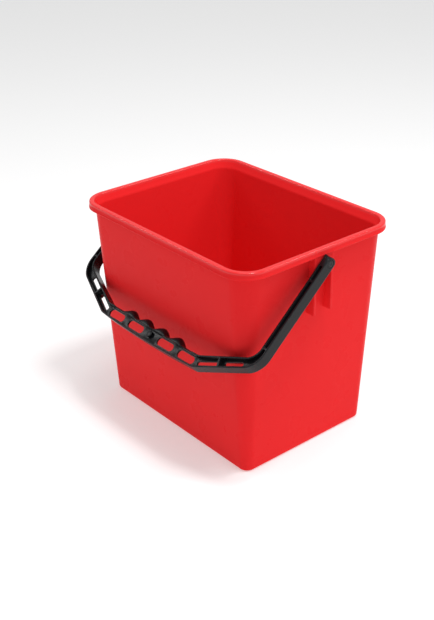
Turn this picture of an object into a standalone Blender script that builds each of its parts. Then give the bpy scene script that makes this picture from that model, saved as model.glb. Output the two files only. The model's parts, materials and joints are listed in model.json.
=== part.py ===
"""Rectangular wash bucket with a swinging bail handle.

One moulded tub with a hooked rim and a ribbed lug on each short side, one moulded bail with a
finger grip, and two snap-in pivot studs.  Metres, +Z up.  The origin is the middle of the
tub's underside, X runs along the pivot axis and -Y is the side that the bail rests against.
"""

import math

import bmesh
import bpy
from mathutils import Matrix, Vector

MM = 0.001

# Tub: outer sizes at the rim and at the base.
TUB_HEIGHT = 236 * MM
RIM_LENGTH = 271 * MM
RIM_WIDTH = 210 * MM
RIM_CORNER_RADIUS = 30 * MM
BASE_LENGTH = 232.5 * MM
BASE_WIDTH = 170 * MM
BASE_CORNER_RADIUS = 10 * MM
BASE_EDGE_RADIUS = 3 * MM
WALL = 2.5 * MM
FLOOR = 3.5 * MM
FLOOR_FILLET = 6 * MM

# Rim: a flat top with a skirt that hangs outside the wall.
SKIRT_HEIGHT = 8 * MM
SKIRT_THICKNESS = 2.2 * MM
RIM_OVERHANG = 7 * MM
RIM_TOP_WIDTH = 6.2 * MM
RIM_TOP_THICKNESS = 2.6 * MM
RIM_EDGE_RADIUS = 1.5 * MM
FLARE_HEIGHT = 9 * MM

# Underside: four shallow recesses, which leave a foot ring and a cross.
RECESS_DEPTH = 1.5 * MM
FOOT_RING = 11 * MM
CROSS_WIDTH = 14 * MM
RECESS_RADIUS = 8 * MM

# Lug on each short side: two ribs with a bearing plate between them.
LUG_LENGTH = 70 * MM
LUG_INSET = 0.3 * MM
RIB_THICKNESS = 3.3 * MM
RIB_SPACING = 22.7 * MM
PLATE_THICKNESS = 2.8 * MM
PLATE_INSET = 0.2 * MM
PLATE_BELOW_PIVOT = 12 * MM
LUG_ROOT = 1.3 * MM

# Bail, measured in its own plane: reach is the distance from the pivot axis.
PIVOT_DROP = 14.6 * MM
REST_GAP = 0.37 * MM
ARM_CLEARANCE = 0.6 * MM
ARM_THICKNESS = 7.5 * MM
ARM_SPLAY = 2.5 * MM
ARM_END = 6.5 * MM
BAIL_DEPTH = 12.5 * MM
SHOULDER_CLEARANCE = 19 * MM
SHOULDER_WIDTH = 13.2 * MM
SHOULDER_OUTER_RADIUS = 22 * MM
SHOULDER_INNER_RADIUS = 14 * MM
SHOULDER_RISE = 30.2 * MM
GRIP_HALF_LENGTH = 78 * MM
GRIP_WIDTH = 13.7 * MM
GRIP_CROWN = 2.2 * MM
GRIP_OUTER_RADIUS = 14 * MM
GRIP_INNER_RADIUS = 15 * MM
FLANGE = 2 * MM
GRIP_FLANGE = 2.8 * MM
WEB = 2.2 * MM
ARM_END_RADIUS = 4.5 * MM
CHANNEL_START = 7.5 * MM

# Details of the bail.
RIB_START = 25 * MM
RIB_MARGIN = 21 * MM
BAIL_RIB = 2.4 * MM
SLOT_WIDTH = 4.4 * MM
SLOT_START = 17 * MM
SLOT_SPACING = 7 * MM
SLOT_MARGIN = 3.5 * MM
WINDOW_EDGE = 1.4 * MM
WINDOW_RADIUS = 3.5 * MM
WINDOW_START = 12.65 * MM
WINDOW_SPACING = 8.3 * MM
WINDOW_MARGIN = 6.05 * MM
BUMP_PITCH = 26.3 * MM
BUMP_LENGTH = 16 * MM
BUMP_HEIGHT = 6.5 * MM
BOSS_RADIUS = 3.5 * MM
BOSS_HEIGHT = 4 * MM

# Pivot stud: a flush head, a shank and a split barbed nose.
GAP = 0.3 * MM
STUD_HEAD_FLANGE = 1.2 * MM
STUD_HEAD_THICKNESS = 1.6 * MM
STUD_RECESS = 0.1 * MM
STUD_SHANK_RADIUS = 2.6 * MM
STUD_BARB = 0.8 * MM
STUD_BARB_LAND = 0.8 * MM
STUD_NOSE_TAPER = 0.6 * MM
STUD_NOSE_CLEARANCE = 0.75 * MM
STUD_SLIT = 1 * MM
STUD_SLIT_DEPTH = 5 * MM

CORNER_STEPS = 8
EDGE_STEPS = 3
ROUND_STEPS = 24
REST_STEPS = 24
SHARP_ANGLE = math.radians(35)

WALL_TOP = TUB_HEIGHT - SKIRT_HEIGHT
LUG_BOTTOM = TUB_HEIGHT - LUG_LENGTH
LUG_FACE = RIM_LENGTH / 2 - LUG_INSET
ARM_INNER = RIM_LENGTH / 2 + ARM_CLEARANCE
ARM_OUTER = ARM_INNER + ARM_THICKNESS
PLATE_FACE = LUG_FACE - PLATE_INSET
PLATE_BACK = PLATE_FACE - PLATE_THICKNESS
PIVOT_HEIGHT = TUB_HEIGHT - PIVOT_DROP
SHOULDER_REACH = math.hypot(RIM_WIDTH / 2, PIVOT_DROP) + SHOULDER_CLEARANCE
GRIP_REACH = SHOULDER_REACH + SHOULDER_RISE
RIB_REACHES = (RIB_START, SHOULDER_REACH - RIB_MARGIN)
WINDOW_WIDTH = GRIP_WIDTH - GRIP_FLANGE - GAP - WINDOW_EDGE
WINDOW_LENGTH = (GRIP_HALF_LENGTH - WINDOW_START - WINDOW_SPACING - WINDOW_MARGIN) / 2
WINDOW_CENTRES = (WINDOW_START + WINDOW_LENGTH / 2,
                  WINDOW_START + WINDOW_LENGTH * 1.5 + WINDOW_SPACING)
STUD_HEAD_RADIUS = STUD_SHANK_RADIUS + STUD_HEAD_FLANGE
STUD_BARB_RADIUS = STUD_SHANK_RADIUS + STUD_BARB
STUD_NOSE_RADIUS = STUD_SHANK_RADIUS - STUD_NOSE_TAPER


def start_scene():
    """Empty the file and make the two collections that the model uses."""
    for old in list(bpy.data.objects):
        bpy.data.objects.remove(old)
    bucket = bpy.data.collections.new("wash_bucket")
    cutters = bpy.data.collections.new("wash_bucket_cutters")
    bpy.context.scene.collection.children.link(bucket)
    bpy.context.scene.collection.children.link(cutters)
    return bucket, cutters


def plastic(name, color, roughness):
    """Moulded polypropylene in one colour."""
    material = bpy.data.materials.new(name)
    material.use_nodes = True
    shader = material.node_tree.nodes["Principled BSDF"]
    shader.inputs["Base Color"].default_value = (*color, 1)
    shader.inputs["Roughness"].default_value = roughness
    shader.inputs["Metallic"].default_value = 0
    material.diffuse_color = (*color, 1)
    return material


def add_object(name, mesh, collection, material=None):
    """Link a mesh as a named object."""
    piece = bpy.data.objects.new(name, mesh)
    collection.objects.link(piece)
    if material:
        mesh.materials.append(material)
    return piece


def add_tool(name, mesh):
    """A shape that is only added to or cut from another piece."""
    tool = add_object(name, mesh, CUTTERS)
    tool.hide_render = True
    tool.display_type = "WIRE"
    return tool


def combine(piece, tool, operation):
    """Boolean one shape with another, as a live modifier."""
    modifier = piece.modifiers.new(tool.name, "BOOLEAN")
    modifier.operation = operation
    modifier.solver = "EXACT"
    modifier.object = tool


def smooth(mesh):
    """Smooth shading that keeps the real edges sharp."""
    mesh.shade_smooth()
    mesh.set_sharp_from_angle(angle=SHARP_ANGLE)


def arc(centre, radius, start, end, steps):
    """Points of an arc, from one angle to another."""
    turns = [start + (end - start) * step / steps for step in range(steps + 1)]
    return [(centre[0] + radius * math.cos(t), centre[1] + radius * math.sin(t)) for t in turns]


def fillet(before, corner, after, radius):
    """Points of the round that replaces one corner of an outline."""
    corner = Vector(corner)
    inward = (Vector(before) - corner).normalized()
    outward = (Vector(after) - corner).normalized()
    half_angle = inward.angle(outward) / 2
    centre = corner + (inward + outward).normalized() * radius / math.sin(half_angle)
    reach = radius / math.tan(half_angle)
    first = corner + inward * reach - centre
    last = corner + outward * reach - centre
    start = math.atan2(first.y, first.x)
    sweep = (math.atan2(last.y, last.x) - start + math.pi) % math.tau - math.pi
    return arc(centre, radius, start, start + sweep, CORNER_STEPS)


def extruded(name, outlines, thickness, place=None):
    """A plate in its local XY plane from a closed outline, with holes after the first."""
    curve = bpy.data.curves.new(name, "CURVE")
    curve.dimensions = "2D"
    curve.fill_mode = "BOTH"
    curve.extrude = thickness / 2
    for outline in outlines:
        spline = curve.splines.new("POLY")
        spline.points.add(len(outline) - 1)
        for point, (x, y) in zip(spline.points, outline):
            point.co = (x, y, 0, 1)
        spline.use_cyclic_u = True
    holder = bpy.data.objects.new(name, curve)
    CUTTERS.objects.link(holder)
    graph = bpy.context.evaluated_depsgraph_get()
    mesh = bpy.data.meshes.new_from_object(holder.evaluated_get(graph))
    bpy.data.objects.remove(holder)
    shape = bmesh.new()
    shape.from_mesh(mesh)
    bmesh.ops.remove_doubles(shape, verts=shape.verts, dist=0.00001)
    bmesh.ops.dissolve_limit(shape, angle_limit=0.001, verts=shape.verts, edges=shape.edges)
    bmesh.ops.recalc_face_normals(shape, faces=shape.faces)
    if place:
        bmesh.ops.transform(shape, matrix=place, verts=shape.verts)
    shape.to_mesh(mesh)
    shape.free()
    mesh.name = name
    return mesh


def rectangle(centre, size, radius=0.0, turn=0.0):
    """A rectangle outline, with rounded corners when a radius is given."""
    half_x = size[0] / 2 - radius
    half_y = size[1] / 2 - radius
    signs = ((1, 1), (-1, 1), (-1, -1), (1, -1))
    points = []
    for quarter, (sx, sy) in enumerate(signs):
        start = quarter * math.pi / 2
        middle = (sx * half_x, sy * half_y)
        steps = CORNER_STEPS if radius else 0
        points += arc(middle, radius, start, start + math.pi / 2, steps) if steps else [middle]
    spin = Matrix.Rotation(turn, 2)
    return [tuple(Vector(centre) + spin @ Vector(point)) for point in points]


def box(name, low, high):
    """An upright block between two corners."""
    shape = bmesh.new()
    low = Vector(low)
    high = Vector(high)
    size = Matrix.Diagonal((*(high - low), 1))
    bmesh.ops.create_cube(shape, size=1, matrix=Matrix.Translation((low + high) / 2) @ size)
    mesh = bpy.data.meshes.new(name)
    shape.to_mesh(mesh)
    shape.free()
    return mesh


def cylinder_x(name, radius, low_x, high_x, z=0.0):
    """A round bar along X."""
    shape = bmesh.new()
    place = Matrix.Translation(((low_x + high_x) / 2, 0, z)) @ Matrix.Rotation(math.pi / 2, 4, "Y")
    bmesh.ops.create_cone(shape, cap_ends=True, segments=ROUND_STEPS, radius1=radius,
                          radius2=radius, depth=high_x - low_x, matrix=place)
    mesh = bpy.data.meshes.new(name)
    shape.to_mesh(mesh)
    shape.free()
    return mesh


# ---------------------------------------------------------------- tub

def wall_ring(z, inset):
    """Half sizes and corner radius of the tapered wall at a height."""
    rise = z / WALL_TOP
    half_x = BASE_LENGTH / 2 + (RIM_LENGTH / 2 - RIM_OVERHANG - BASE_LENGTH / 2) * rise
    half_y = BASE_WIDTH / 2 + (RIM_WIDTH / 2 - RIM_OVERHANG - BASE_WIDTH / 2) * rise
    top_radius = RIM_CORNER_RADIUS - RIM_OVERHANG
    radius = BASE_CORNER_RADIUS + (top_radius - BASE_CORNER_RADIUS) * rise
    return half_x - inset, half_y - inset, radius - inset, z


def rim_ring(inset, drop):
    """The same for the rim, from its outer edge inward and from its top down."""
    return (RIM_LENGTH / 2 - inset, RIM_WIDTH / 2 - inset, RIM_CORNER_RADIUS - inset,
            TUB_HEIGHT - drop)


def tub_rings():
    """The tub's section as a run of rings: up the outside, over the rim, down the inside."""
    quarter = [math.pi / 2 * step / EDGE_STEPS for step in range(EDGE_STEPS + 1)]
    edge = BASE_EDGE_RADIUS
    rings = [wall_ring(edge - edge * math.cos(t), edge - edge * math.sin(t)) for t in quarter]
    rings.append(wall_ring(WALL_TOP, 0))
    rings.append(rim_ring(RIM_TOP_WIDTH - RIM_EDGE_RADIUS, RIM_TOP_THICKNESS))
    rings.append(rim_ring(SKIRT_THICKNESS, RIM_TOP_THICKNESS))
    rings.append(rim_ring(SKIRT_THICKNESS, SKIRT_HEIGHT))
    rings.append(rim_ring(0, SKIRT_HEIGHT))
    edge = RIM_EDGE_RADIUS
    rings += [rim_ring(edge - edge * math.cos(t), edge - edge * math.sin(t)) for t in quarter]
    inner = RIM_TOP_WIDTH
    rings += [rim_ring(inner - edge + edge * math.sin(t), edge - edge * math.cos(t))
              for t in quarter]
    rings.append(wall_ring(TUB_HEIGHT - FLARE_HEIGHT, WALL))
    edge = FLOOR_FILLET
    rings += [wall_ring(FLOOR + edge - edge * math.sin(t), WALL + edge - edge * math.cos(t))
              for t in quarter]
    return rings


def ring_points(half_x, half_y, radius, z):
    """A rounded rectangle at one height."""
    outline = rectangle((0, 0), (2 * half_x, 2 * half_y), radius)
    return [(x, y, z) for x, y in outline]


def tub_shell():
    """Loft the rings into one closed shell."""
    shape = bmesh.new()
    loops = [[shape.verts.new(p) for p in ring_points(*ring)] for ring in tub_rings()]
    for lower, upper in zip(loops, loops[1:]):
        for i in range(len(lower)):
            j = (i + 1) % len(lower)
            shape.faces.new((lower[i], lower[j], upper[j], upper[i]))
    shape.faces.new(reversed(loops[0]))
    shape.faces.new(loops[-1])
    bmesh.ops.recalc_face_normals(shape, faces=shape.faces)
    mesh = bpy.data.meshes.new("bucket_tub")
    shape.to_mesh(mesh)
    shape.free()
    return mesh


def rib_mesh(name, side, y):
    """A lug rib: rooted in the wall and in the rim's top, flush with the rim's face."""
    top = TUB_HEIGHT - RIM_TOP_THICKNESS / 2
    outline = [(wall_ring(LUG_BOTTOM, LUG_ROOT)[0], LUG_BOTTOM), (LUG_FACE, LUG_BOTTOM),
               (LUG_FACE, top), (RIM_LENGTH / 2 - RIM_TOP_WIDTH + RIM_EDGE_RADIUS, top),
               (wall_ring(WALL_TOP, LUG_ROOT)[0], WALL_TOP)]
    outline = [(side * x, z) for x, z in outline]
    place = Matrix.Translation((0, y, 0)) @ Matrix.Rotation(math.pi / 2, 4, "X")
    return extruded(name, [outline], RIB_THICKNESS, place)


def add_lug(tub, side, label):
    """Two ribs and the bearing plate between them, with the pivot hole."""
    for end, y in (("front", -RIB_SPACING / 2), ("back", RIB_SPACING / 2)):
        combine(tub, add_tool(f"lug_rib_{label}_{end}", rib_mesh("lug_rib", side, y)), "UNION")
    near, far = sorted((side * PLATE_BACK, side * PLATE_FACE))
    top = TUB_HEIGHT - RIM_TOP_THICKNESS / 2 - LUG_INSET
    plate = box("bearing_plate", (near, -RIB_SPACING / 2, PIVOT_HEIGHT - PLATE_BELOW_PIVOT),
                (far, RIB_SPACING / 2, top))
    combine(tub, add_tool(f"bearing_plate_{label}", plate), "UNION")
    near, far = sorted((side * (PLATE_BACK - GAP), side * (LUG_FACE + GAP)))
    hole = cylinder_x("pivot_hole", STUD_SHANK_RADIUS + GAP, near, far, PIVOT_HEIGHT)
    combine(tub, add_tool(f"pivot_hole_{label}", hole), "DIFFERENCE")


def add_recesses(tub):
    """Four shallow pockets under the floor, which leave the foot ring and the cross."""
    length = BASE_LENGTH / 2 - FOOT_RING - CROSS_WIDTH / 2
    width = BASE_WIDTH / 2 - FOOT_RING - CROSS_WIDTH / 2
    for number, (sx, sy) in enumerate(((1, 1), (-1, 1), (-1, -1), (1, -1))):
        centre = (sx * (CROSS_WIDTH + length) / 2, sy * (CROSS_WIDTH + width) / 2)
        outline = rectangle(centre, (length, width), RECESS_RADIUS)
        pocket = extruded("recess", [outline], 2 * RECESS_DEPTH)
        combine(tub, add_tool(f"recess_{number}", pocket), "DIFFERENCE")


def make_tub(material):
    tub = add_object("bucket_tub", tub_shell(), BUCKET, material)
    for side, label in ((-1, "left"), (1, "right")):
        add_lug(tub, side, label)
    add_recesses(tub)
    smooth(tub.data)
    return tub


# ---------------------------------------------------------------- bail

def inset_corners(insets):
    """Corners of a line inside the bail's outer edge: arm end, shoulder and grip end.

    insets are the distances kept from the outer edge along the arm, the shoulder and the grip.
    Points are (x, reach).
    """
    corners = [Vector((ARM_OUTER - ARM_SPLAY * ARM_END / SHOULDER_REACH, -ARM_END)),
               Vector((ARM_OUTER + ARM_SPLAY, SHOULDER_REACH)),
               Vector((GRIP_HALF_LENGTH, GRIP_REACH)), Vector((0, GRIP_REACH))]
    lines = []
    for (first, second), inset in zip(zip(corners, corners[1:]), insets):
        along = (second - first).normalized()
        across = Vector((-along.y, along.x)) * inset
        lines.append((first + across, along))
    moved = [lines[0][0]]
    for (point, along), (other, other_along) in zip(lines, lines[1:]):
        step = (other - point).cross(other_along) / along.cross(other_along)
        moved.append(point + along * step)
    return moved


def grip_edge(half_length, reach, crown):
    """The slightly crowned edge of the grip, from its end to the middle."""
    steps = [step / CORNER_STEPS for step in range(1, CORNER_STEPS + 1)]
    return [(half_length * (1 - s), reach + crown * (1 - (1 - s) ** 2)) for s in steps]


def half_edge(insets, outer_radius, grip_radius, crown=0.0, start=-ARM_END):
    """Half of an edge of the bail, from the arm's end to the middle of the grip."""
    end, shoulder, grip = inset_corners(insets)
    along = (shoulder - end).normalized()
    end = end + along * ((start + ARM_END) / along.y)
    middle = (0, grip.y)
    points = [tuple(end)]
    points += fillet(end, shoulder, grip, outer_radius)
    points += fillet(shoulder, grip, middle, grip_radius)
    inner_end = points[-1][0]
    return points + grip_edge(inner_end, grip.y, crown)


def bail_point(point, side=1):
    """From (x, reach) to the bail's own plane, where it points along -Y."""
    return side * point[0], -point[1]


def both_halves(outer, inner):
    """Close an outer and an inner half edge into the bail's U-shaped outline."""
    right = [bail_point(p) for p in outer]
    left = [bail_point(p, -1) for p in outer[:-1]]
    inner_left = [bail_point(p, -1) for p in inner]
    inner_right = [bail_point(p) for p in inner[:-1]]
    return right + left[::-1] + inner_left + inner_right[::-1]


def bail_outline():
    outer = half_edge((0, 0, 0), SHOULDER_OUTER_RADIUS, GRIP_OUTER_RADIUS, GRIP_CROWN)
    inner = half_edge((ARM_THICKNESS, SHOULDER_WIDTH, GRIP_WIDTH), SHOULDER_INNER_RADIUS,
                      GRIP_INNER_RADIUS)
    return both_halves(outer, inner)


def channel_outline():
    """The channel between the bail's outer and inner flanges."""
    outer = half_edge((FLANGE, FLANGE, FLANGE), SHOULDER_OUTER_RADIUS - FLANGE,
                      GRIP_OUTER_RADIUS - FLANGE, GRIP_CROWN, CHANNEL_START)
    insets = (ARM_THICKNESS - FLANGE, SHOULDER_WIDTH - FLANGE, GRIP_WIDTH - GRIP_FLANGE)
    inner = half_edge(insets, SHOULDER_INNER_RADIUS + FLANGE, GRIP_INNER_RADIUS + GRIP_FLANGE,
                      0.0, CHANNEL_START)
    return both_halves(outer, inner)


def side_outline():
    """The bail's side view: its depth, with the arm's end rounded."""
    half = BAIL_DEPTH / 2
    far = GRIP_REACH + BAIL_DEPTH
    corner = ARM_END_RADIUS
    points = arc((-ARM_END + corner, half - corner), corner, math.pi, math.pi / 2, CORNER_STEPS)
    points += [(far, half), (far, -half)]
    points += arc((-ARM_END + corner, corner - half), corner, 1.5 * math.pi, math.pi,
                  CORNER_STEPS)
    return points


def grip_bump(name, x):
    """A domed finger bump on the grip's inner edge."""
    shape = bmesh.new()
    place = Matrix.Translation((x, -(GRIP_REACH - GRIP_WIDTH), 0))
    size = Matrix.Diagonal((BUMP_LENGTH / 2, BUMP_HEIGHT, BAIL_DEPTH / 2 - GAP, 1))
    bmesh.ops.create_uvsphere(shape, u_segments=20, v_segments=12, radius=1,
                              matrix=place @ size)
    mesh = bpy.data.meshes.new(name)
    shape.to_mesh(mesh)
    shape.free()
    return mesh


def shoulder_frame():
    """Where the shoulder's outer edge starts, and its direction towards the grip."""
    corners = inset_corners((0, 0, 0))
    return corners[1], (corners[2] - corners[1]).normalized()


def shoulder_point(along, across):
    """A point along the shoulder and in from its outer edge, as (x, reach)."""
    start, direction = shoulder_frame()
    return start + direction * along + Vector((-direction.y, direction.x)) * across


def slot_spans():
    """Where the shoulder's two slots start and end, along the shoulder."""
    corners = inset_corners((0, 0, 0))
    end = (corners[2] - corners[1]).length - SLOT_MARGIN
    length = (end - SLOT_START - SLOT_SPACING) / 2
    return (SLOT_START, SLOT_START + length), (end - length, end)


def add_channel(bail):
    """Sink the channel into both faces, down to the web, and keep the ribs across it."""
    depth = BAIL_DEPTH / 2
    outline = channel_outline()
    for label, side in (("upper", 1), ("lower", -1)):
        place = Matrix.Translation((0, 0, side * (WEB / 2 + depth / 2)))
        pocket = extruded("channel", [outline], depth, place)
        combine(bail, add_tool(f"channel_{label}", pocket), "DIFFERENCE")


def add_ribs(bail):
    """Thin ribs that cross the channel on the arms and between the shoulder slots."""
    height = BAIL_DEPTH - 2 * GAP
    lean = ARM_SPLAY / SHOULDER_REACH
    _, direction = shoulder_frame()
    first, second = slot_spans()
    middle = shoulder_point((first[1] + second[0]) / 2, SHOULDER_WIDTH / 2)
    for label, side in (("left", -1), ("right", 1)):
        for number, reach in enumerate(RIB_REACHES):
            x = ARM_OUTER + lean * reach - ARM_THICKNESS / 2
            size = (ARM_THICKNESS - FLANGE, BAIL_RIB)
            rib = extruded("bail_rib", [rectangle(bail_point((x, reach), side), size)], height)
            combine(bail, add_tool(f"bail_rib_{label}_{number}", rib), "UNION")
        turn = -side * math.atan2(direction.y, direction.x)
        size = (BAIL_RIB, SHOULDER_WIDTH - FLANGE)
        rib = extruded("bail_rib", [rectangle(bail_point(middle, side), size, 0, turn)], height)
        combine(bail, add_tool(f"slot_rib_{label}", rib), "UNION")


def add_slots(bail):
    """Two long slots through the web of each shoulder, and two windows in each grip half."""
    _, direction = shoulder_frame()
    cut = 2 * WEB
    for label, side in (("left", -1), ("right", 1)):
        turn = -side * math.atan2(direction.y, direction.x)
        for number, (start, end) in enumerate(slot_spans()):
            middle = shoulder_point((start + end) / 2, SHOULDER_WIDTH / 2)
            outline = rectangle(bail_point(middle, side), (end - start, SLOT_WIDTH),
                                SLOT_WIDTH / 4, turn)
            slot = extruded("slot", [outline], cut)
            combine(bail, add_tool(f"slot_{label}_{number}", slot), "DIFFERENCE")
        for number, x in enumerate(WINDOW_CENTRES):
            reach = GRIP_REACH - GRIP_WIDTH + GRIP_FLANGE + WINDOW_WIDTH / 2 + GAP
            outline = rectangle(bail_point((x, reach), side), (WINDOW_LENGTH, WINDOW_WIDTH),
                                WINDOW_RADIUS)
            window = extruded("window", [outline], cut)
            combine(bail, add_tool(f"window_{label}_{number}", window), "DIFFERENCE")


def add_boss(bail):
    """A small round boss in the middle of the grip."""
    shape = bmesh.new()
    place = Matrix.Translation((0, -(GRIP_REACH - GRIP_WIDTH / 2), 0))
    bmesh.ops.create_cone(shape, cap_ends=True, segments=ROUND_STEPS, radius1=BOSS_RADIUS,
                          radius2=BOSS_RADIUS, depth=2 * BOSS_HEIGHT, matrix=place)
    mesh = bpy.data.meshes.new("grip_boss")
    shape.to_mesh(mesh)
    shape.free()
    combine(bail, add_tool("grip_boss", mesh), "UNION")


def add_bores(bail):
    """The bore for each stud's shank, and the seat that its head sits flush in."""
    for label, side in (("left", -1), ("right", 1)):
        outside = ARM_OUTER + ARM_SPLAY
        seat = ARM_OUTER - STUD_RECESS - STUD_HEAD_THICKNESS - GAP
        near, far = sorted((side * (ARM_INNER - ARM_SPLAY), side * outside))
        bore = cylinder_x("stud_bore", STUD_SHANK_RADIUS + GAP, near, far)
        combine(bail, add_tool(f"stud_bore_{label}", bore), "DIFFERENCE")
        near, far = sorted((side * seat, side * outside))
        seat_cut = cylinder_x("stud_seat", STUD_HEAD_RADIUS + GAP, near, far)
        combine(bail, add_tool(f"stud_seat_{label}", seat_cut), "DIFFERENCE")


def make_bail(material):
    bail = add_object("bail_handle", extruded("bail_handle", [bail_outline()], BAIL_DEPTH),
                      BUCKET, material)
    turn = Matrix(((0, 0, -1, 0), (-1, 0, 0, 0), (0, 1, 0, 0), (0, 0, 0, 1)))
    envelope = extruded("side_view", [side_outline()], RIM_LENGTH + 4 * ARM_THICKNESS, turn)
    combine(bail, add_tool("side_view", envelope), "INTERSECT")
    for number in range(4):
        x = (number - 1.5) * BUMP_PITCH
        combine(bail, add_tool(f"grip_bump_{number}", grip_bump("grip_bump", x)), "UNION")
    add_channel(bail)
    add_ribs(bail)
    add_boss(bail)
    add_slots(bail)
    add_bores(bail)
    smooth(bail.data)
    return bail


def gap_to_tub(x, y, z):
    """How far a point outside the tub is from its wall, or from its rim at that height."""
    half_x, half_y, radius, _ = rim_ring(0, 0) if WALL_TOP < z < TUB_HEIGHT else wall_ring(z, 0)
    past_x = max(abs(x) - half_x + radius, 0)
    past_y = max(abs(y) - half_y + radius, 0)
    return math.hypot(past_x, past_y) - radius


def bail_gap(angle):
    """The bail's least gap to the tub along its inner lower edge, when it hangs at an angle."""
    edge = half_edge((ARM_THICKNESS, SHOULDER_WIDTH, GRIP_WIDTH), SHOULDER_INNER_RADIUS,
                     GRIP_INNER_RADIUS)
    half = BAIL_DEPTH / 2
    gaps = []
    for (x, reach), (next_x, next_reach) in zip(edge[1:], edge[2:]):
        for step in range(REST_STEPS):
            share = step / REST_STEPS
            at = reach + (next_reach - reach) * share
            y = half * math.sin(angle) - at * math.cos(angle)
            z = PIVOT_HEIGHT - at * math.sin(angle) - half * math.cos(angle)
            gaps.append(gap_to_tub(x + (next_x - x) * share, y, z))
    return min(gaps)


def rest_angle():
    """The angle below level at which the bail comes to rest against the tub's front corners."""
    high, low = 0.0, math.pi / 2
    for _ in range(REST_STEPS):
        middle = (high + low) / 2
        if bail_gap(middle) > REST_GAP:
            high = middle
        else:
            low = middle
    return high


# ---------------------------------------------------------------- studs

def stud_nose():
    """Where the stud's nose ends, just short of the tub's wall."""
    return wall_ring(PIVOT_HEIGHT, 0)[0] + STUD_NOSE_CLEARANCE


def stud_profile():
    """Radius and distance from the tub's middle, from the head's face in to the nose."""
    face = ARM_OUTER - STUD_RECESS
    under_head = face - STUD_HEAD_THICKNESS
    barb = PLATE_BACK - GAP
    land = barb - STUD_BARB_LAND
    nose = stud_nose()
    return [(0, face), (STUD_HEAD_RADIUS, face), (STUD_HEAD_RADIUS, under_head),
            (STUD_SHANK_RADIUS, under_head), (STUD_SHANK_RADIUS, barb),
            (STUD_BARB_RADIUS, barb), (STUD_BARB_RADIUS, land), (STUD_NOSE_RADIUS, nose),
            (0, nose)]


def make_stud(name, side, material):
    """Turn the profile about the pivot axis and split the nose."""
    shape = bmesh.new()
    points = [shape.verts.new((radius, 0, z)) for radius, z in stud_profile()]
    for first, second in zip(points, points[1:]):
        shape.edges.new((first, second))
    mesh = bpy.data.meshes.new(name)
    shape.to_mesh(mesh)
    shape.free()
    stud = add_object(name, mesh, BUCKET, material)
    stud.rotation_euler = (0, side * math.pi / 2, 0)
    screw = stud.modifiers.new("turn", "SCREW")
    screw.axis = "Z"
    screw.steps = ROUND_STEPS
    screw.render_steps = ROUND_STEPS
    screw.use_merge_vertices = True
    screw.merge_threshold = 0.00001
    nose = stud_nose()
    half = STUD_SLIT / 2
    low = (-2 * STUD_BARB_RADIUS, -half, nose - GAP)
    slit = add_tool(f"{name}_slit", box("slit", low, (2 * STUD_BARB_RADIUS, half,
                                                       nose + STUD_SLIT_DEPTH)))
    slit.rotation_euler = stud.rotation_euler
    combine(stud, slit, "DIFFERENCE")
    smooth(stud.data)
    return stud, slit


# ---------------------------------------------------------------- assembly

BUCKET, CUTTERS = start_scene()
RED = plastic("red_polypropylene", (0.62, 0.016, 0.018), 0.32)
BLACK = plastic("black_polypropylene", (0.012, 0.013, 0.015), 0.42)

make_tub(RED)
pivot_axis = bpy.data.objects.new("pivot_axis", None)
BUCKET.objects.link(pivot_axis)
moving = [make_bail(BLACK)]
moving += make_stud("pivot_stud_left", -1, BLACK)
moving += make_stud("pivot_stud_right", 1, BLACK)
moving += [tool for tool in CUTTERS.objects
           if any(m.object is tool for m in moving[0].modifiers)]
for piece in moving:
    piece.parent = pivot_axis
pivot_axis.location = (0, 0, PIVOT_HEIGHT)
pivot_axis.rotation_euler = (rest_angle(), 0, 0)
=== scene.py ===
"""Finished look of the wash bucket: moulded red tub, black bail and its two pivot studs."""

import json
import math

import bmesh
import bpy
from mathutils import Matrix, Vector
from mathutils.geometry import intersect_line_line
from bmesh.geometry import intersect_face_point


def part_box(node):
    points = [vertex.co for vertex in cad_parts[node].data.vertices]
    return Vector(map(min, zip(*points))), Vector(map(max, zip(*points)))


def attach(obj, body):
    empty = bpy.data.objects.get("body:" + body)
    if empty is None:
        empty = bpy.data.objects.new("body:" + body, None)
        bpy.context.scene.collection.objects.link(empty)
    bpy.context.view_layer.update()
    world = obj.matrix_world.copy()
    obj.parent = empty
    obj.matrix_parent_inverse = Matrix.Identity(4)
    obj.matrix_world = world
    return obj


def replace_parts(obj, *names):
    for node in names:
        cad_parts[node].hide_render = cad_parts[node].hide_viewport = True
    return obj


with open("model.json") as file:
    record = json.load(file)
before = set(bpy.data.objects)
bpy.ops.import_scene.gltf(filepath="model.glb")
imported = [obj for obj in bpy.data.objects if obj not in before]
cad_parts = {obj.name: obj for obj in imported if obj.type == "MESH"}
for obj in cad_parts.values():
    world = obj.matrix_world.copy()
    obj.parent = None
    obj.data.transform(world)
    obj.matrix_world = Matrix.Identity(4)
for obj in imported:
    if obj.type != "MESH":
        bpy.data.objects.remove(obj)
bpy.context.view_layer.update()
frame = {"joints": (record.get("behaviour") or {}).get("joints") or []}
MM = 0.001


# ------------------------------------------------------------------ camera
# The bucket is looked at from its front right corner, from a little above the rim and from
# about five bucket heights away, which keeps the tub's upright edges nearly parallel.

TUB_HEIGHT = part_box("bucket_tub")[1].z
# the distance and the sideways and upward moves are in bucket heights
CAMERA_DISTANCE = 4.895
CAMERA_RIGHT = -0.0801
CAMERA_UP = -0.0080
azimuth = math.radians(50.628)
elevation = math.radians(27.530)
roll = math.radians(-1.024)
back = Vector((math.sin(azimuth) * math.cos(elevation), -math.cos(azimuth) * math.cos(elevation),
               math.sin(elevation)))
level = Vector((math.cos(azimuth), math.sin(azimuth), 0))
above = back.cross(level)
right = level * math.cos(roll) + above * math.sin(roll)
up = above * math.cos(roll) - level * math.sin(roll)

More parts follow.
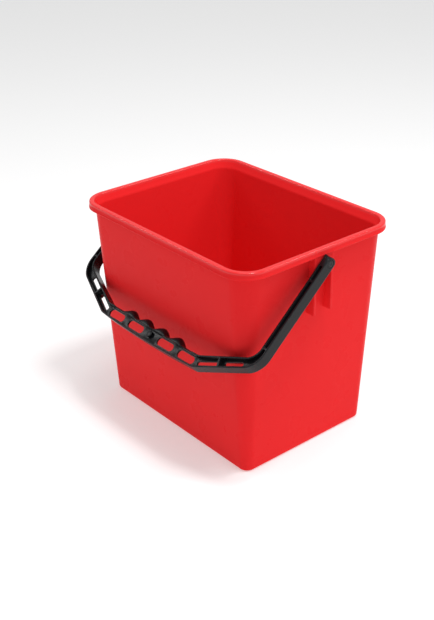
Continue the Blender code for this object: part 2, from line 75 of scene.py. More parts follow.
camera = bpy.data.objects.new("camera", bpy.data.cameras.new("camera"))
bpy.context.scene.collection.objects.link(camera)
camera.data.lens = 61
camera.data.clip_start = 0.05
camera.data.clip_end = 20
camera.matrix_world = Matrix((right, up, back)).transposed().to_4x4()
camera.location = (Vector((0, 0, TUB_HEIGHT / 2)) + back * CAMERA_DISTANCE * TUB_HEIGHT
                   + right * CAMERA_RIGHT * TUB_HEIGHT + up * CAMERA_UP * TUB_HEIGHT)
bpy.context.scene.camera = camera


# ------------------------------------------------------------------ tub
# The tub is one injection moulding in red polypropylene: a tapered box with a thin wall, a
# hooked rim whose skirt hangs outside the wall, and a shallow ribbed foot underneath.

RIM_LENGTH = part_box("bucket_tub")[1].x * 2
RIM_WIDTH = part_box("bucket_tub")[1].y * 2
RIM_RADIUS = 30 * MM
BASE_LENGTH = 232.5 * MM
BASE_WIDTH = 170 * MM
BASE_RADIUS = 10 * MM
BASE_ROUND = 3 * MM
WALL = 2.5 * MM
FLOOR = 3.5 * MM
FLOOR_ROUND = 6 * MM
OVERHANG = 7 * MM
SKIRT = 8 * MM
RIM_ROUND = 1.5 * MM
RIM_OUTER = 0.5 * MM
RIM_CROWN = 4.7 * MM
CORNER_SEGMENTS = 12


def wall_ring(z, inset):
    """Half sizes, corner radius and height of the tapered wall, in from its outer face."""
    share = z / (TUB_HEIGHT - SKIRT)
    half_x = BASE_LENGTH / 2 + (RIM_LENGTH / 2 - OVERHANG - BASE_LENGTH / 2) * share
    half_y = BASE_WIDTH / 2 + (RIM_WIDTH / 2 - OVERHANG - BASE_WIDTH / 2) * share
    radius = BASE_RADIUS + (RIM_RADIUS - OVERHANG - BASE_RADIUS) * share
    return half_x - inset, half_y - inset, radius - inset, z


def rim_ring(inset, drop):
    """The same for the rim, in from its outer face and down from its top."""
    return (RIM_LENGTH / 2 - inset, RIM_WIDTH / 2 - inset, RIM_RADIUS - inset,
            TUB_HEIGHT - drop)


def quarter(steps):
    """Sine and cosine of the angles of a quarter round."""
    return [(math.sin(math.pi / 2 * i / steps), math.cos(math.pi / 2 * i / steps))
            for i in range(steps + 1)]


def tub_section():
    """The rings of the tub's section: up the outside, over the rim and down the inside."""
    rings = [wall_ring(BASE_ROUND * (1 - c), BASE_ROUND * (1 - s)) for s, c in quarter(5)]
    rings.append(wall_ring(BASE_ROUND + 2 * MM, 0))
    rings.append(wall_ring(TUB_HEIGHT - SKIRT - 2 * MM, 0))
    rings.append(wall_ring(TUB_HEIGHT - SKIRT, 0))
    # inset and drop, in mm: the hook's hidden inner face, the skirt's rounded lower lip, and
    # up its outer face to the rim
    under = [(6.0, 3.9), (5.2, 3.1), (4.4, 2.7), (2.9, 2.7), (2.3, 3.0), (2.2, 3.8), (2.1, 6.4),
             (1.75, 7.2), (1.4, 7.75), (0.9, 8.0), (0.45, 7.9), (0.12, 7.55), (0.0, 7.0),
             (0.05, 6.55), (0.3, 6.1), (0.42, 5.5), (0.45, 4.9), (0.5, 2.2)]
    rings += [rim_ring(x * MM, z * MM) for x, z in under]
    rings += [rim_ring(RIM_OUTER + RIM_ROUND * (1 - c), RIM_ROUND * (1 - s))
              for s, c in quarter(5)]
    rings += [rim_ring(2.3 * MM, 0), rim_ring(4.5 * MM, 0)]
    rings += [rim_ring(RIM_CROWN + RIM_ROUND * s, RIM_ROUND * (1 - c)) for s, c in quarter(5)]
    rings += [rim_ring(6.45 * MM, 2.2 * MM), rim_ring(8.9 * MM, 7.9 * MM)]
    rings.append(wall_ring(TUB_HEIGHT - 9.2 * MM, WALL + 0.05 * MM))
    rings.append(wall_ring(TUB_HEIGHT - 10.5 * MM, WALL))
    rings.append(wall_ring(FLOOR + FLOOR_ROUND + 2 * MM, WALL))
    rings += [wall_ring(FLOOR + FLOOR_ROUND * (1 - s), WALL + FLOOR_ROUND * (1 - c))
              for s, c in quarter(5)]
    return rings


def move_ring(points, old, new):
    """Turn one rounded rectangle into another."""
    for point in points:
        sides = [math.copysign(1, part) for part in point.co.xy]
        spokes = [(point.co[i] - sides[i] * (old[i] - old[2])) / old[2] for i in (0, 1)]
        point.co = [sides[i] * (new[i] - new[2]) + spokes[i] * new[2] for i in (0, 1)] + [new[3]]


def lofted_tub(shape, rings):
    """Draw the first ring, and extrude it along the section."""
    half_step = math.pi / CORNER_SEGMENTS / 4
    radius = rings[0][2]
    made = bmesh.ops.create_circle(shape, segments=4 * CORNER_SEGMENTS, cap_ends=True,
                                   radius=radius / math.cos(half_step),
                                   matrix=Matrix.Rotation(half_step, 4, "Z"))
    move_ring(made["verts"], (radius, radius, radius), rings[0])
    edges = shape.edges[:]
    for old, new in zip(rings, rings[1:]):
        made = bmesh.ops.extrude_edge_only(shape, edges=edges)["geom"]
        edges = [item for item in made if isinstance(item, bmesh.types.BMEdge)]
        move_ring([item for item in made if isinstance(item, bmesh.types.BMVert)], old, new)
    bmesh.ops.contextual_create(shape, geom=edges)
    bmesh.ops.recalc_face_normals(shape, faces=shape.faces)


def sharpen(mesh, degrees):
    """Smooth shading, with the real edges left sharp."""
    mesh.shade_smooth()
    mesh.set_sharp_from_angle(angle=math.radians(degrees))


def finish_mesh(name, shape, material):
    """The shape as an object of one material. The shape is used up."""
    mesh = bpy.data.meshes.new(name)
    shape.to_mesh(mesh)
    shape.free()
    piece = bpy.data.objects.new(name, mesh)
    bpy.context.scene.collection.objects.link(piece)
    mesh.materials.append(material)
    return piece


def combine(piece, shapes, operation):
    """Join shapes to a piece or cut them from it, and keep the mesh that this makes."""
    tools = [finish_mesh("tool", shape, piece.data.materials[0]) for shape in shapes]
    for tool in tools:
        boolean = piece.modifiers.new("join", "BOOLEAN")
        boolean.operation = operation
        boolean.solver = "EXACT"
        boolean.object = tool
    graph = bpy.context.evaluated_depsgraph_get()
    mesh = bpy.data.meshes.new_from_object(piece.evaluated_get(graph))
    piece.modifiers.clear()
    piece.data = mesh
    for tool in tools:
        bpy.data.objects.remove(tool)


class Value:
    """A socket of a material, on which sums and products add Math nodes."""

    def __init__(self, tree, socket=None):
        self.tree = tree
        self.socket = socket

    def node(self, kind, settings, inputs, output=0):
        """Add a node: its settings first, then the values or links of its sockets."""
        made = self.tree.nodes.new(kind)
        for name, value in settings.items():
            if name == "stops":
                ramp = made.color_ramp.elements
                for element, (place, grey) in zip((ramp[0], ramp[1]), value):
                    element.position = place
                    element.color = (grey, grey, grey, 1)
            else:
                setattr(made, name, value)
        for name, value in inputs.items():
            if isinstance(value, Value):
                self.tree.links.new(value.socket, made.inputs[name])
            else:
                made.inputs[name].default_value = value
        return Value(self.tree, made.outputs[output])

    def maths(self, operation, *values):
        return self.node("ShaderNodeMath", {"operation": operation}, dict(enumerate(values)))

    def __add__(self, other):
        return self.maths("ADD", self, other)

    def __sub__(self, other):
        return self.maths("SUBTRACT", self, other)

    def __rsub__(self, other):
        return self.maths("SUBTRACT", other, self)

    def __mul__(self, other):
        return self.maths("MULTIPLY", self, other)

    __radd__ = __add__
    __rmul__ = __mul__


# width of the edges that get the painted highlight
HIGHLIGHT_EDGE_RADIUS = 0.8 * MM
POLISH = 0.8
POLISH_ROUGHNESS = 0.14


def moulded_plastic(name, colour, shade, roughness, sheen, grain, ripple, polished=None):
    """Moulded plastic: two close tones, a fine grain, slow ripples, and a painted highlight of paler
    specks along the edges.

    It is polished above a height, where one is given."""
    material = bpy.data.materials.new(name)
    material.use_nodes = True
    tree = material.node_tree
    shader = tree.nodes["Principled BSDF"]
    start = Value(tree)
    place = start.node("ShaderNodeTexCoord", {}, {}, "Object")

    def noise(scale, detail):
        return start.node("ShaderNodeTexNoise", {}, {"Vector": place, "Scale": scale,
                                                     "Detail": detail})

    clouds = noise(9, 3)
    tone = start.node("ShaderNodeMix", {"data_type": "RGBA"},
                      {0: clouds, 6: (*colour, 1), 7: (*shade, 1)}, 2)
    # painted highlight: the edges are mixed up to a third of the way towards a paler tone, in specks
    specks = noise(420, 2)
    highlight_specks = start.node("ShaderNodeValToRGB", {"stops": ((0.60, 0), (0.78, 1))}, {0: specks})
    rounded = start.node("ShaderNodeBevel", {"samples": 4}, {"Radius": HIGHLIGHT_EDGE_RADIUS})
    plain = start.node("ShaderNodeNewGeometry", {}, {}, "Normal")
    facing = start.node("ShaderNodeVectorMath", {"operation": "DOT_PRODUCT"},
                        {0: rounded, 1: plain}, "Value")
    edge = start.node("ShaderNodeMapRange", {}, {0: facing, 1: 0.995, 2: 0.90, 3: 0, 4: 1})
    painted_highlight = edge * highlight_specks * 0.35
    highlight_colour = tuple(0.75 * part + 0.25 for part in colour)
    tone = start.node("ShaderNodeMix", {"data_type": "RGBA"}, {0: painted_highlight, 6: tone, 7: (*highlight_colour, 1)},
                      2)
    smears = noise(34, 5)
    dull = (smears - 0.5) * 0.07 + roughness + edge * 0.06
    fine = noise(2600, 2)
    slow = noise(16, 1)
    relief = start.node("ShaderNodeBump", {}, {"Strength": 1.0, "Distance": ripple,
                                               "Height": slow})
    relief = start.node("ShaderNodeBump", {}, {"Strength": 0.5, "Distance": grain,
                                               "Height": fine, "Normal": relief})
    for socket, value in (("Base Color", tone), ("Roughness", dull), ("Normal", relief)):
        tree.links.new(value.socket, shader.inputs[socket])
    shader.inputs["Specular IOR Level"].default_value = sheen
    if polished:
        height = start.node("ShaderNodeSeparateXYZ", {}, {0: place}, "Z")
        polish = start.node("ShaderNodeMapRange", {},
                            {0: height, 1: polished, 2: polished + 1 * MM, 3: 0, 4: POLISH})
        tree.links.new(polish.socket, shader.inputs["Coat Weight"])
        shader.inputs["Coat Roughness"].default_value = POLISH_ROUGHNESS
    return material


RED = moulded_plastic("red_polypropylene", (0.860, 0.0240, 0.0265), (0.815, 0.0210, 0.0235),
                      roughness=0.28, sheen=0.03, grain=0.02 * MM, ripple=0.12 * MM,
                      polished=TUB_HEIGHT - 3 * MM)

FOOT_RING = 8 * MM
CROSS = 14 * MM
RECESS = 1.5 * MM
RECESS_ROUND = 6 * MM
RECESS_SLOPE = 1 * MM


def cut(shape, faces, point, normal):
    """Cut faces along a plane, and give all the faces that they became."""
    geometry = set(faces)
    for face in faces:
        geometry.update(face.edges)
        geometry.update(face.verts)
    made = bmesh.ops.bisect_plane(shape, geom=list(geometry), dist=1e-7, plane_co=point,
                                  plane_no=normal)
    return [item for item in made["geom"] if isinstance(item, bmesh.types.BMFace)]


def recess_foot(shape, sole):
    """Sink four pockets in the sole, which leave a foot ring and a cross."""
    cells = [sole]
    halves = (BASE_LENGTH / 2 - BASE_ROUND - FOOT_RING, BASE_WIDTH / 2 - BASE_ROUND - FOOT_RING)
    for axis, half in (((1, 0, 0), halves[0]), ((0, 1, 0), halves[1])):
        for place in (-half, -CROSS / 2, CROSS / 2, half):
            cells = cut(shape, cells, Vector(axis) * place, axis)
    for side_x in (-1, 1):
        for side_y in (-1, 1):
            middle = Vector([side * (half + CROSS / 2) / 2 for side, half
                             in zip((side_x, side_y), halves)] + [0])
            raise_pocket(shape, middle)


def raise_pocket(shape, middle):
    """Round a pocket's corners, and sink it with sloping sides."""
    def nearest():
        return min(shape.faces, key=lambda face: (face.calc_center_bounds() - middle).length)

    bmesh.ops.bevel(shape, geom=nearest().verts[:], offset=RECESS_ROUND, affect="VERTICES",
                    segments=6, profile=0.5, material=-1)
    pocket = nearest()
    bmesh.ops.inset_individual(shape, faces=[pocket], thickness=RECESS_SLOPE,
                                 use_even_offset=True)
    bmesh.ops.translate(shape, verts=pocket.verts[:], vec=(0, 0, RECESS))


PIVOT = Vector(frame["joints"][0]["pos_m"])
LUG_RIBS = (-11.35 * MM, 11.35 * MM)
LUG_RIB = 3.3 * MM
LUG_BOTTOM = 166 * MM
LUG_TOP = TUB_HEIGHT - 1.1 * MM
LUG_HOOK = TUB_HEIGHT - 9 * MM
LUG_FACE = RIM_LENGTH / 2 - 0.3 * MM
LUG_ROOT = 1.3 * MM
PLATE = 2.8 * MM
PLATE_FACE = RIM_LENGTH / 2 - 0.5 * MM
PLATE_TOP = TUB_HEIGHT - 1.5 * MM
PLATE_DROP = 12 * MM
PIVOT_HOLE = 2.9 * MM


def slab(outline, thickness):
    """A flat outline made into a slab of a given thickness, with its edges just broken."""
    shape = bmesh.new()
    face = shape.faces.new([shape.verts.new(point) for point in outline])
    made = bmesh.ops.extrude_face_region(shape, geom=[face])["geom"]
    bmesh.ops.translate(shape, verts=[item for item in made if isinstance(item, bmesh.types.BMVert)],
                        vec=thickness)
    bmesh.ops.recalc_face_normals(shape, faces=shape.faces)
    bmesh.ops.bevel(shape, geom=shape.edges[:], offset=0.35 * MM, affect="EDGES", segments=2,
                    profile=0.5, material=-1)
    return shape


def rod(side, radius, near, far):
    """A round rod on the pivot axis, between two distances from the tub's middle."""
    shape = bmesh.new()
    place = (Matrix.Translation(PIVOT + Vector((side * (near + far) / 2, 0, 0)))
             @ Matrix.Rotation(math.pi / 2, 4, "Y"))
    bmesh.ops.create_cone(shape, cap_ends=True, segments=32, radius1=radius, radius2=radius,
                          depth=far - near, matrix=place)
    return shape


def add_lugs(piece):
    """On each end, two ribs from wall to rim, and the plate that the stud snaps into."""
    root = wall_ring(LUG_BOTTOM, LUG_ROOT)[0]
    high_root = wall_ring(LUG_HOOK, LUG_ROOT)[0]
    ribs = []
    for side in (-1, 1):
        for y in LUG_RIBS:
            outline = [(root, LUG_BOTTOM), (LUG_FACE, LUG_BOTTOM), (LUG_FACE, LUG_TOP),
                       (high_root + 2 * MM, LUG_TOP), (high_root, LUG_HOOK)]
            ribs.append(slab([(side * x, y - LUG_RIB / 2, z) for x, z in outline],
                             (0, LUG_RIB, 0)))
    combine(piece, ribs, "UNION")
    plates = []
    for side in (-1, 1):
        low = PIVOT.z - PLATE_DROP
        outline = [(LUG_RIBS[0], low), (LUG_RIBS[1], low), (LUG_RIBS[1], PLATE_TOP),
                   (LUG_RIBS[0], PLATE_TOP)]
        plates.append(slab([(side * (PLATE_FACE - PLATE), y, z) for y, z in outline],
                           (side * PLATE, 0, 0)))
    combine(piece, plates, "UNION")
    combine(piece, [rod(side, PIVOT_HOLE, PLATE_FACE - 2 * PLATE, LUG_FACE + 1 * MM)
                    for side in (-1, 1)], "DIFFERENCE")


shape = bmesh.new()
lofted_tub(shape, tub_section())
recess_foot(shape, min(shape.faces, key=lambda face: face.calc_center_median().z))
# the long flat faces are cut clear of the rounded corners, which keeps their shading even
for side in (-1, 1):
    for half, axis in ((RIM_LENGTH / 2, (1, 0, 0)), (RIM_WIDTH / 2, (0, 1, 0))):
        place = Vector(axis) * side * (half - RIM_RADIUS - 1.5 * MM)
        bmesh.ops.bisect_plane(shape, geom=shape.verts[:] + shape.edges[:] + shape.faces[:],
                               dist=1e-7, plane_co=place, plane_no=axis)
tub = finish_mesh("moulded_tub", shape, RED)
add_lugs(tub)
sharpen(tub.data, 40)
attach(tub, "tub")
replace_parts(tub, "bucket_tub")


# ------------------------------------------------------------------ bail
# The bail is one moulding in black polypropylene. Two flanges and a thin web between them make
# an I section; the web is pierced on the shoulders and in the grip, and four knuckles on the
# grip's inner side part the fingers. It is drawn flat, as x and reach from the pivot.

HALF_DEPTH = 6.25 * MM
HALF_WEB = 1.1 * MM
FLANGE = 2 * MM
ARM_OUTER = 143.6 * MM
ARM_SPLAY = 2.5 * MM
ARM_WIDTH = 7.5 * MM
ARM_END = 6.1 * MM
ARM_END_ROUND = 5.6 * MM
CHANNEL_START = 7.5 * MM
SHOULDER_REACH = 125 * MM
SHOULDER_WIDTHS = (11.4 * MM, 13.2 * MM)
SHOULDER_ROUNDS = (22 * MM, 14 * MM)
GRIP_ROUNDS = (10 * MM, 15 * MM)
GRIP_REACH = 155.2 * MM
GRIP_HALF = 78 * MM
GRIP_WIDTH = 13.7 * MM
GRIP_CROWN = 2.2 * MM
GRIP_WAIST = 66 * MM
KNUCKLE_PITCH = 26.3 * MM
KNUCKLE_HEIGHT = 6.3 * MM
KNUCKLE_HALF = 10.5 * MM
KNUCKLE_POWER = 1.2
KNUCKLE_DOME = 0.90
GRIP_SIDE_ROUND = 0.9 * MM
RIB = 2.4 * MM
ARM_RIBS = (25 * MM, 104 * MM)
SHOULDER_RIB = (42.8 * MM, 45.2 * MM)
SHOULDER_END = 73.7 * MM
SLOTS = ((29 * MM, 11 * MM), (59.6 * MM, 12.8 * MM))
SLOT_DEPTH = 6.1 * MM
SLOT_WIDTH = 4.6 * MM
WINDOWS = (25.4 * MM, 59.2 * MM)
WINDOW_REACH = 149.1 * MM
WINDOW_LENGTH = 25.5 * MM
WINDOW_WIDTH = 8.4 * MM
WINDOW_ROUND = 3.9 * MM
WINDOW_CELL = 26.3 * MM
BOSS = 3.5 * MM
BOSS_TOP = 4 * MM
SEAT = 4.1 * MM
SEAT_FLOOR = ARM_OUTER - 2 * MM
OUTER_BREAK = 0.7 * MM
INNER_BREAK = 0.35 * MM
WALL_LEVELS = (5.3 * MM, 4.1 * MM, 2.8 * MM, 1.4 * MM, 0)


def flat(x, reach):
    """A point of the bail's drawing, on its upper face."""
    return Vector((x, -reach, HALF_DEPTH))


def beside(start, end, offset, other_offset):
    """The line from start to end, moved to its inner side by an offset at each end."""
    across = (end - start).cross(Vector((0, 0, 1))).normalized()
    return start + across * offset, end + across * other_offset


def bail_corners():
    """Corners of half the bail: down the outer edge to the grip, and back up the inner."""
    arm_end = flat(ARM_OUTER - ARM_SPLAY * ARM_END / SHOULDER_REACH, -ARM_END)
    shoulder = flat(ARM_OUTER + ARM_SPLAY, SHOULDER_REACH)
    grip = flat(GRIP_HALF, GRIP_REACH)
    inner_arm = beside(arm_end, shoulder, ARM_WIDTH, ARM_WIDTH)
    inner_shoulder = beside(shoulder, grip, *SHOULDER_WIDTHS)
    inner_grip = flat(GRIP_HALF, GRIP_REACH - GRIP_WIDTH), flat(0, GRIP_REACH - GRIP_WIDTH)
    inner = [intersect_line_line(*inner_shoulder, *inner_grip)[0],
             intersect_line_line(*inner_arm, *inner_shoulder)[0], inner_arm[0]]
    return [arm_end, shoulder, grip], inner


def round_corner(shape, place, radius):
    """Round the drawing's corner at a place, on both sides of the middle."""
    for side in (1, -1):
        spot = Vector((side * place.x, place.y, place.z))
        corner = min(shape.verts, key=lambda vert: (vert.co - spot).length)
        first, second = [(edge.other_vert(corner).co - corner.co) for edge in corner.link_edges]
        reach = radius / math.tan(first.angle(second) / 2)
        bmesh.ops.bevel(shape, geom=[corner], offset=reach, affect="VERTICES", segments=8,
                        profile=0.5, material=-1)


def bail_drawing(shape):
    """The bail's outline as one face, with round corners and a slightly crowned grip."""
    outer, inner = bail_corners()
    mirrored = [Vector((-point.x, point.y, point.z)) for point in outer + inner]
    around = outer + mirrored[2::-1] + mirrored[:2:-1] + inner
    shape.faces.new([shape.verts.new(point) for point in around])
    round_corner(shape, outer[1], SHOULDER_ROUNDS[0])
    round_corner(shape, outer[2], GRIP_ROUNDS[0])
    round_corner(shape, inner[0], GRIP_ROUNDS[1])
    round_corner(shape, inner[1], SHOULDER_ROUNDS[1])
    # the knuckles' side needs the finer steps
    for reach, step in ((GRIP_REACH, 9 * MM), (GRIP_REACH - GRIP_WIDTH, 1.4 * MM)):
        span = [edge for edge in shape.edges if edge.calc_length() > GRIP_HALF
                and abs(edge.verts[0].co.y + reach) < 1e-5
                and abs(edge.verts[1].co.y + reach) < 1e-5]
        bmesh.ops.subdivide_edges(shape, edges=span, cuts=int(span[0].calc_length() / step))
    for point in shape.verts:
        if abs(point.co.y + GRIP_REACH) < 1e-5:
            share = min(1, abs(point.co.x) / GRIP_HALF)
            point.co.y -= GRIP_CROWN * (1 - share * share)


def shoulder_line(side):
    """Where the shoulder's outer edge starts, and its direction towards the grip."""
    _, start, end = bail_corners()[0]
    start, end = [Vector((side * point.x, point.y, 0)) for point in (start, end)]
    return start, (end - start).normalized()


def along_shoulder(point):
    """How far a point lies along the shoulder nearest to it."""
    start, direction = shoulder_line(math.copysign(1, point.x))
    return (point - start).dot(direction)


def cut_cells(shape):
    """Cut the drawing across at every rib, and between every two holes."""
    arm_cuts = [CHANNEL_START - FLANGE]
    arm_cuts += [reach + half for reach in ARM_RIBS for half in (-RIB / 2, RIB / 2)]
    for reach in arm_cuts:
        cut(shape, shape.faces[:], (0, -reach, 0), (0, 1, 0))
    for side in (-1, 1):
        start, direction = shoulder_line(side)
        for along in (*SHOULDER_RIB, SHOULDER_END):
            cut(shape, shape.faces[:], start + direction * along, direction)
        for middle in WINDOWS:
            for half in (-WINDOW_CELL / 2, WINDOW_CELL / 2):
                cut(shape, shape.faces[:], (side * (middle + half), 0, 0), (1, 0, 0))


def within(value, low, high):
    return low < value < high


def is_rib(centre):
    """True on the ribs that cross the channel."""
    reach = -centre.y
    if any(within(reach, rib - RIB / 2, rib + RIB / 2) for rib in ARM_RIBS):
        return True
    return reach > SHOULDER_REACH and within(along_shoulder(centre), *SHOULDER_RIB)


def web_face(shape, spot):
    """The face of the lowered web that a spot lies in."""
    return next(face for face in shape.faces
                if abs(face.verts[0].co.z - HALF_WEB) < 1e-6 and abs(face.normal.z) > 0.9
                and intersect_face_point(face, spot))


def pierce(shape, spot, along, half_length, half_width, radius):
    """A round-cornered hole through the web, down to the middle plane."""
    across = along.cross(Vector((0, 0, 1)))
    cells = [web_face(shape, spot)]
    for direction, half in ((along, half_length), (across, half_width)):
        for side in (-half, half):
            cells = cut(shape, cells, spot + direction * side, direction)
    bmesh.ops.bevel(shape, geom=web_face(shape, spot).verts[:], offset=radius,
                    affect="VERTICES", segments=6, profile=0.5, material=-1)
    hole = web_face(shape, spot)
    edges = hole.edges[:]
    bmesh.ops.delete(shape, geom=[hole], context="FACES_ONLY")
    sink(shape, edges, 0)


def pierce_web(shape):
    """Two slots in each shoulder, and two windows on each side of the grip."""
    for side in (-1, 1):
        start, direction = shoulder_line(side)
        inwards = Vector((-side * direction.y, side * direction.x, 0))
        inwards *= math.copysign(1, inwards.y)
        for middle, half in SLOTS:
            spot = start + direction * middle + inwards * SLOT_DEPTH
            spot.z = HALF_WEB
            pierce(shape, spot, direction, half, SLOT_WIDTH / 2, SLOT_WIDTH / 2 - 0.6 * MM)
        for middle in WINDOWS:
            spot = Vector((side * middle, -WINDOW_REACH, HALF_WEB))
            pierce(shape, spot, Vector((1, 0, 0)), WINDOW_LENGTH / 2, WINDOW_WIDTH / 2,
                   WINDOW_ROUND)


def sink(shape, edges, level):
    """Extrude a loop of edges straight down to a level, and give the new loop."""
    made = bmesh.ops.extrude_edge_only(shape, edges=edges)["geom"]
    for item in made:
        if isinstance(item, bmesh.types.BMVert):
            item.co.z = level
    return [item for item in made if isinstance(item, bmesh.types.BMEdge)]


def shape_sides(shape):
    """Round the arm's end in side view, and raise the knuckles on the grip's inner side."""
    inner_edge = GRIP_REACH - GRIP_WIDTH
    for point in shape.verts:
        if not (point.is_boundary or len(point.link_edges) > 2):
            continue
        rise = point.co.z - (HALF_DEPTH - ARM_END_ROUND)
        if point.co.y > ARM_END - 1e-5 and rise > 0:
            point.co.y -= ARM_END_ROUND - math.sqrt(max(0, ARM_END_ROUND ** 2 - rise ** 2))
        if abs(point.co.y + inner_edge) < 1e-5 and abs(point.co.x) < GRIP_WAIST:
            level = point.co.z / HALF_DEPTH
            past = ((abs(point.co.x) / KNUCKLE_PITCH) % 1 - 0.5) * KNUCKLE_PITCH
            bump = 0.0
            if abs(point.co.x) < 2 * KNUCKLE_PITCH and abs(past) < KNUCKLE_HALF:
                bump = math.cos(math.pi / 2 * past / KNUCKLE_HALF) ** KNUCKLE_POWER
            dome = math.sqrt(1 - KNUCKLE_DOME * level * level)
            point.co.y += KNUCKLE_HEIGHT * bump * dome - GRIP_SIDE_ROUND * level ** 4


def round_edges(shape):
    """Break every sharp edge: more on the outer faces, less inside the channel."""
    for offset, outer in ((OUTER_BREAK, True), (INNER_BREAK, False)):
        edges = [edge for edge in shape.edges
                 if len(edge.link_faces) == 2 and edge.calc_face_angle() > math.radians(50)
                 and outer == (min(abs(vert.co.z) for vert in edge.verts) > HALF_DEPTH - 1e-5)]
        bmesh.ops.bevel(shape, geom=edges, offset=offset, affect="EDGES", segments=2,
                        profile=0.5, material=-1, clamp_overlap=True)
    bmesh.ops.dissolve_degenerate(shape, edges=shape.edges, dist=1e-6)


def bail_moulding():
    """The upper half of the bail from its drawing, with channel and holes, then mirrored."""
    shape = bmesh.new()
    bail_drawing(shape)
    cut_cells(shape)
    body = [face for face in shape.faces
            if max(-corner.vert.co.y for corner in face.loops) > CHANNEL_START]
    bmesh.ops.inset_region(shape, faces=body, thickness=FLANGE, use_even_offset=True,
                           use_boundary=True)
    channel = [face for face in body if not is_rib(face.calc_center_median())]
    made = bmesh.ops.extrude_face_region(shape, geom=channel)["geom"]
    bmesh.ops.delete(shape, geom=channel, context="FACES")
    for item in made:
        if isinstance(item, bmesh.types.BMVert):
            item.co.z = HALF_WEB
    pierce_web(shape)
    edges = [edge for edge in shape.edges
             if edge.is_boundary and edge.verts[0].co.z > HALF_DEPTH - 1e-5]
    for level in WALL_LEVELS:
        edges = sink(shape, edges, level)
    shape_sides(shape)
    bmesh.ops.mirror(shape, geom=shape.verts[:] + shape.edges[:] + shape.faces[:],
                     merge_dist=1e-6, axis="Z")
    bmesh.ops.remove_doubles(shape, verts=shape.verts, dist=1e-6)
    bmesh.ops.recalc_face_normals(shape, faces=shape.faces)
    round_edges(shape)
    return shape


BLACK = moulded_plastic("black_polypropylene", (0.0080, 0.0088, 0.0105),
                        (0.0060, 0.0066, 0.0080), roughness=0.27, sheen=0.22,
                        grain=0.03 * MM, ripple=0.10 * MM)
bail = finish_mesh("moulded_bail", bail_moulding(), BLACK)
reach = math.hypot(GRIP_REACH + GRIP_CROWN, HALF_DEPTH)
REST_ANGLE = (math.atan2(HALF_DEPTH, GRIP_REACH + GRIP_CROWN)
              + math.acos(-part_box("bail_handle")[0].y / reach))
place = Matrix.Translation((0, -(GRIP_REACH - GRIP_WIDTH / 2), 0))
boss = bmesh.new()
bmesh.ops.create_cone(boss, cap_ends=True, segments=32, radius1=BOSS, radius2=BOSS,
                      depth=2 * BOSS_TOP, matrix=place)
bmesh.ops.bevel(boss, geom=[edge for edge in boss.edges if edge.calc_face_angle() > 1],
                offset=0.5 * MM, affect="EDGES", segments=3, profile=0.5, material=-1)
combine(bail, [boss], "UNION")
bail.data.transform(Matrix.Translation(PIVOT) @ Matrix.Rotation(REST_ANGLE, 4, "X"))
combine(bail, [rod(side, PIVOT_HOLE, ARM_OUTER - 2 * ARM_WIDTH, ARM_OUTER + ARM_WIDTH)
               for side in (-1, 1)], "DIFFERENCE")
combine(bail, [rod(side, SEAT, SEAT_FLOOR, ARM_OUTER + ARM_WIDTH) for side in (-1, 1)],
        "DIFFERENCE")
sharpen(bail.data, 40)
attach(bail, "bail")
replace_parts(bail, "bail_handle")


# ------------------------------------------------------------------ pivot studs
# A black snap stud holds each arm of the bail: its round head lies in a seat in the arm, and
# its split, barbed nose has been pushed through the bearing plate behind the rim.

STUD_FACE = ARM_OUTER - 0.1 * MM
STUD_HEAD = 3.8 * MM
STUD_SHANK = 2.6 * MM
BARB = 3.4 * MM
BARB_GAP = 0.3 * MM
BARB_LENGTH = 0.8 * MM
NOSE = 2 * MM
NOSE_LENGTH = 3 * MM
SLIT = 1 * MM
GLOSS_BLACK = moulded_plastic("black_acetal", (0.0105, 0.0110, 0.0125),
                              (0.0080, 0.0085, 0.0095), roughness=0.30, sheen=0.30,
                              grain=0.01 * MM, ripple=0.05 * MM)


def stud_section():
    """Radius and distance from the tub's middle: dimpled head, shank, barb and nose."""
    under = STUD_FACE - 1.6 * MM
    barb = PLATE_FACE - PLATE - BARB_GAP
    crown = [(0, STUD_FACE - 0.35 * MM), (1.2 * MM, STUD_FACE - 0.35 * MM),
             (1.6 * MM, STUD_FACE)]
    crown += [(STUD_HEAD - 0.5 * MM * (1 - s), STUD_FACE - 0.5 * MM * (1 - c))
              for s, c in quarter(4)]
    return crown + [(STUD_HEAD, under), (STUD_SHANK, under), (STUD_SHANK, barb),
                    (BARB, barb), (BARB, barb - BARB_LENGTH), (NOSE, barb - NOSE_LENGTH),
                    (0, barb - NOSE_LENGTH)]


def snap_stud(name, side):
    """Spin the section about the pivot axis, and split the nose."""
    shape = bmesh.new()
    points = [shape.verts.new((far * side, 0, radius)) for radius, far in stud_section()]
    edges = [shape.edges.new(pair) for pair in zip(points, points[1:])]
    bmesh.ops.spin(shape, geom=points + edges, cent=(0, 0, 0), axis=(1, 0, 0),
                   angle=2 * math.pi, steps=32, use_merge=True)
    bmesh.ops.remove_doubles(shape, verts=shape.verts, dist=1e-6)
    bmesh.ops.recalc_face_normals(shape, faces=shape.faces)
    bmesh.ops.translate(shape, verts=shape.verts, vec=PIVOT)
    stud = finish_mesh(name, shape, GLOSS_BLACK)
    nose = PLATE_FACE - PLATE - BARB_GAP - NOSE_LENGTH
    outline = [(nose - 1 * MM, -SLIT / 2), (nose + 5 * MM, -SLIT / 2), (nose + 5 * MM, SLIT / 2),
               (nose - 1 * MM, SLIT / 2)]
    depth = 2 * BARB + 2 * MM
    slit = slab([(side * x, y, PIVOT.z - depth / 2) for x, y in outline], (0, 0, depth))
    combine(stud, [slit], "DIFFERENCE")
    sharpen(stud.data, 40)
    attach(stud, "bail")
    return stud


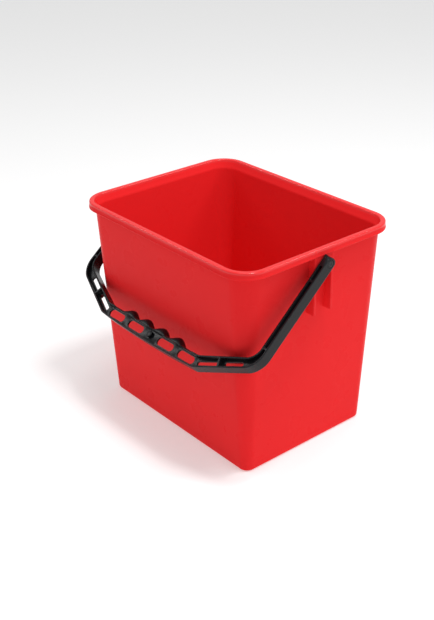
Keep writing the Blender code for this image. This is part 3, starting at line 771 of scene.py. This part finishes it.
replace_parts(snap_stud("snap_stud_left", -1), "pivot_stud_left")
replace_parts(snap_stud("snap_stud_right", 1), "pivot_stud_right")


# ------------------------------------------------------------------ studio
# A plain white floor under soft lights: a small one high on the right that shapes the walls,
# weaker ones above, in front on the left, behind, and low on the right for light thrown back
# up by a white table.

def studio_white():
    material = bpy.data.materials.new("studio_white")
    material.use_nodes = True
    shader = material.node_tree.nodes["Principled BSDF"]
    shader.inputs["Base Color"].default_value = (0.80, 0.80, 0.80, 1)
    shader.inputs["Emission Color"].default_value = (1, 1, 1, 1)
    shader.inputs["Emission Strength"].default_value = 0.32
    shader.inputs["Roughness"].default_value = 0.9
    shader.inputs["Specular IOR Level"].default_value = 0.1
    return material


def soft_light(name, place, target, size, power):
    light = bpy.data.lights.new(name, "AREA")
    light.shape = "RECTANGLE"
    light.size, light.size_y = size
    light.energy = power
    lamp = bpy.data.objects.new(name, light)
    bpy.context.scene.collection.objects.link(lamp)
    lamp.location = place
    lamp.rotation_euler = (Vector(target) - Vector(place)).to_track_quat("-Z", "Y").to_euler()
    lamp.visible_camera = False
    return lamp


shape = bmesh.new()
bmesh.ops.create_grid(shape, x_segments=1, y_segments=1, size=30,
                      matrix=Matrix.Translation((0, 0, -0.2 * MM)))
floor = finish_mesh("studio_floor", shape, studio_white())

soft_light("overhead", (0.40, 0.05, 1.45), (0, 0, 0.1), (0.24, 0.24), 9)
soft_light("top", (0, 0, 1.5), (0, 0, 0.1), (0.4, 0.4), 2.4)
soft_light("left", (-1.25, -0.85, 1.15), (0, 0, 0.2), (0.35, 0.35), 2.2)
soft_light("behind", (0.75, 0.95, 1.35), (0, 0, 0.2), (0.4, 0.4), 4.5)
soft_light("low_right", (1.6, 0.2, 0.4), (0, 0, 0.05), (0.8, 0.5), 0.8)

world = bpy.data.worlds.new("studio")
bpy.context.scene.world = world
world.use_nodes = True
world.node_tree.nodes["Background"].inputs["Color"].default_value = (1, 1, 1, 1)
world.node_tree.nodes["Background"].inputs["Strength"].default_value = 0.50
bpy.context.scene.view_settings.view_transform = "Standard"
